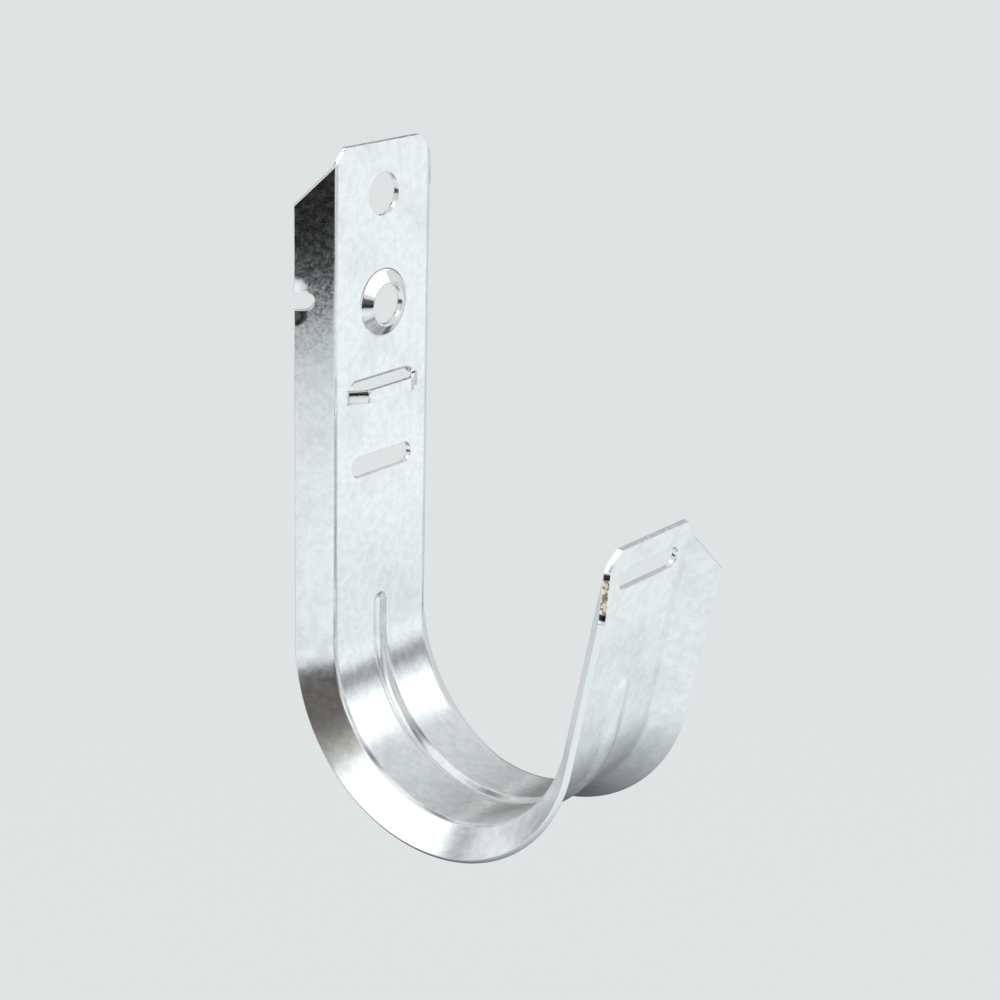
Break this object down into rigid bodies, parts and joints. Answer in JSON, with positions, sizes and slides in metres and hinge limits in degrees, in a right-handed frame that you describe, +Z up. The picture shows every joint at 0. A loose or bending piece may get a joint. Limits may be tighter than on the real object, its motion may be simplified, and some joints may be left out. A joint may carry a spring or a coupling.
{
  "type": "j hook cable support",
  "caption": "Wide-base J hook pressed from one galvanised steel strip, with flared edges, a fixing hole, a raised tie bridge and tie slots, that carries a bundle of cables.",
  "frame": {"origin": "centre of the fixing hole on the cable side of the back leg", "axes": "+X out of the back leg towards the tip leg, +Y across the strip, +Z up along the back leg"},
  "size_m": [0.0663, 0.0346, 0.1179],
  "materials": {
    "galvanised_steel": "bright zinc plating with a faint mottle"
  },
  "bodies": {
    "root": {"hook_strip": "galvanised_steel"}
  },
  "joints": []
}
